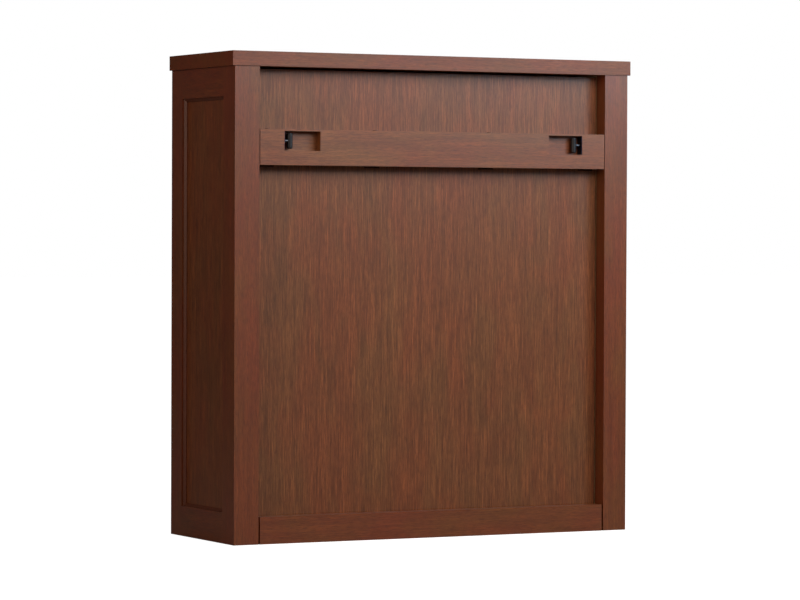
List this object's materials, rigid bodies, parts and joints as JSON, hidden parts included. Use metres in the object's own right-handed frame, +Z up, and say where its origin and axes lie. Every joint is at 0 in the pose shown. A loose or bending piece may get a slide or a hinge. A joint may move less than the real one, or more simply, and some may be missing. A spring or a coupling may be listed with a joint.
{
  "type": "wall bed",
  "caption": "Upright wall bed cabinet with framed sides, a recessed fold-down bed, a swing-out leg board with hand pockets, sliding bolts and gas struts.",
  "frame": {"origin": "on the floor at the middle of the cabinet's outline, the cap's overhangs included", "axes": "+X to the right of someone facing the front, +Y from the front to the back, +Z up"},
  "size_m": [2.086, 0.706, 2.235],
  "materials": {
    "stained_wood": "satin stained hardwood, red-brown",
    "veneer_panel": "satin stained veneer, fine straight grain",
    "inner_board": "clear-sealed plywood",
    "slat_wood": "planed softwood",
    "mattress_ticking": "quilted woven ticking",
    "webbing": "woven webbing",
    "glide_plastic": "moulded plastic",
    "black_metal": "satin black",
    "grip_gloss": "gloss black",
    "strut_black": "semi-gloss black",
    "piston_chrome": "polished",
    "zinc_steel": "bright zinc"
  },
  "bodies": {
    "cabinet": {"top_cap": "stained_wood", "left_front_post": "stained_wood", "right_front_post": "stained_wood", "left_rear_stile": "stained_wood", "right_rear_stile": "stained_wood", "left_side_top_rail": "stained_wood", "right_side_top_rail": "stained_wood", "left_side_bottom_rail": "stained_wood", "right_side_bottom_rail": "stained_wood", "left_side_panel": "veneer_panel", "right_side_panel": "veneer_panel", "left_panel_bead": "stained_wood", "right_panel_bead": "stained_wood", "left_liner": "inner_board", "right_liner": "inner_board", "back_panel": "inner_board", "hang_rail": "inner_board", "rear_base_rail": "inner_board", "front_stretcher": "inner_board", "kick_rail": "stained_wood", "left_pivot_plate": "zinc_steel", "right_pivot_plate": "zinc_steel", "left_strut_anchor": "zinc_steel", "right_strut_anchor": "zinc_steel", "strike_plates": "black_metal", "cabinet_screws": "zinc_steel"},
    "bed": {"face_panel": "veneer_panel", "left_bed_rail": "inner_board", "right_bed_rail": "inner_board", "head_rail": "inner_board", "foot_rail": "inner_board", "left_ledger": "inner_board", "right_ledger": "inner_board", "centre_beam": "inner_board", "bed_slats": "slat_wood", "mattress": "mattress_ticking", "upper_strap": "webbing", "lower_strap": "webbing", "strap_fittings": "black_metal", "left_pivot_pin": "zinc_steel", "right_pivot_pin": "zinc_steel", "left_strut_stud": "zinc_steel", "right_strut_stud": "zinc_steel", "leg_hinge_fixed_leaves": "black_metal", "leg_hinge_pins": "black_metal"},
    "leg": {"leg_beam": "stained_wood", "leg_backing": "stained_wood", "leg_hinge_moving_leaves": "black_metal", "leg_glides": "glide_plastic", "left_latch_flange": "black_metal", "right_latch_flange": "black_metal"},
    "latch_left": {"left_latch_bolt": "zinc_steel", "left_latch_grip": "grip_gloss"},
    "latch_right": {"right_latch_bolt": "zinc_steel", "right_latch_grip": "grip_gloss"},
    "strut_left_tube": {"left_strut_tube": "strut_black"},
    "strut_left_piston": {"left_strut_rod": "piston_chrome"},
    "strut_right_tube": {"right_strut_tube": "strut_black"},
    "strut_right_piston": {"right_strut_rod": "piston_chrome"}
  },
  "joints": [
    {"name": "bed_fold", "type": "hinge", "parent": "cabinet", "child": "bed", "pos_m": [0, -0.202, 0.242], "axis": [1, 0, 0], "range_deg": [0, 90]},
    {"name": "leg_swing", "type": "hinge", "parent": "bed", "child": "leg", "pos_m": [0, -0.2735, 1.7166], "axis": [1, 0, 0], "range_deg": [0, 90]},
    {"name": "latch_left_slide", "type": "slide", "parent": "leg", "child": "latch_left", "axis": [-1, 0, 0], "range_m": [0, 0.018]},
    {"name": "latch_right_slide", "type": "slide", "parent": "leg", "child": "latch_right", "axis": [1, 0, 0], "range_m": [0, 0.018]},
    {"name": "strut_left_tube_turn", "type": "hinge", "parent": "cabinet", "child": "strut_left_tube", "pos_m": [-0.875, -0.15379, 0.39037], "axis": [1, 0, 0], "range_deg": [0, 45]},
    {"name": "strut_left_rod_turn", "type": "hinge", "parent": "bed", "child": "strut_left_piston", "pos_m": [-0.875, -0.202, 0.086], "axis": [1, 0, 0], "range_deg": [-45, 0]},
    {"name": "strut_right_tube_turn", "type": "hinge", "parent": "cabinet", "child": "strut_right_tube", "pos_m": [0.875, -0.15379, 0.39037], "axis": [1, 0, 0], "range_deg": [0, 45]},
    {"name": "strut_right_rod_turn", "type": "hinge", "parent": "bed", "child": "strut_right_piston", "pos_m": [0.875, -0.202, 0.086], "axis": [1, 0, 0], "range_deg": [-45, 0]}
  ],
  "couplings": [
    {"joint": "strut_left_tube_turn", "follows": "bed_fold", "ratio": 0.5},
    {"joint": "strut_left_rod_turn", "follows": "bed_fold", "ratio": -0.5},
    {"joint": "strut_right_tube_turn", "follows": "bed_fold", "ratio": 0.5},
    {"joint": "strut_right_rod_turn", "follows": "bed_fold", "ratio": -0.5}
  ]
}
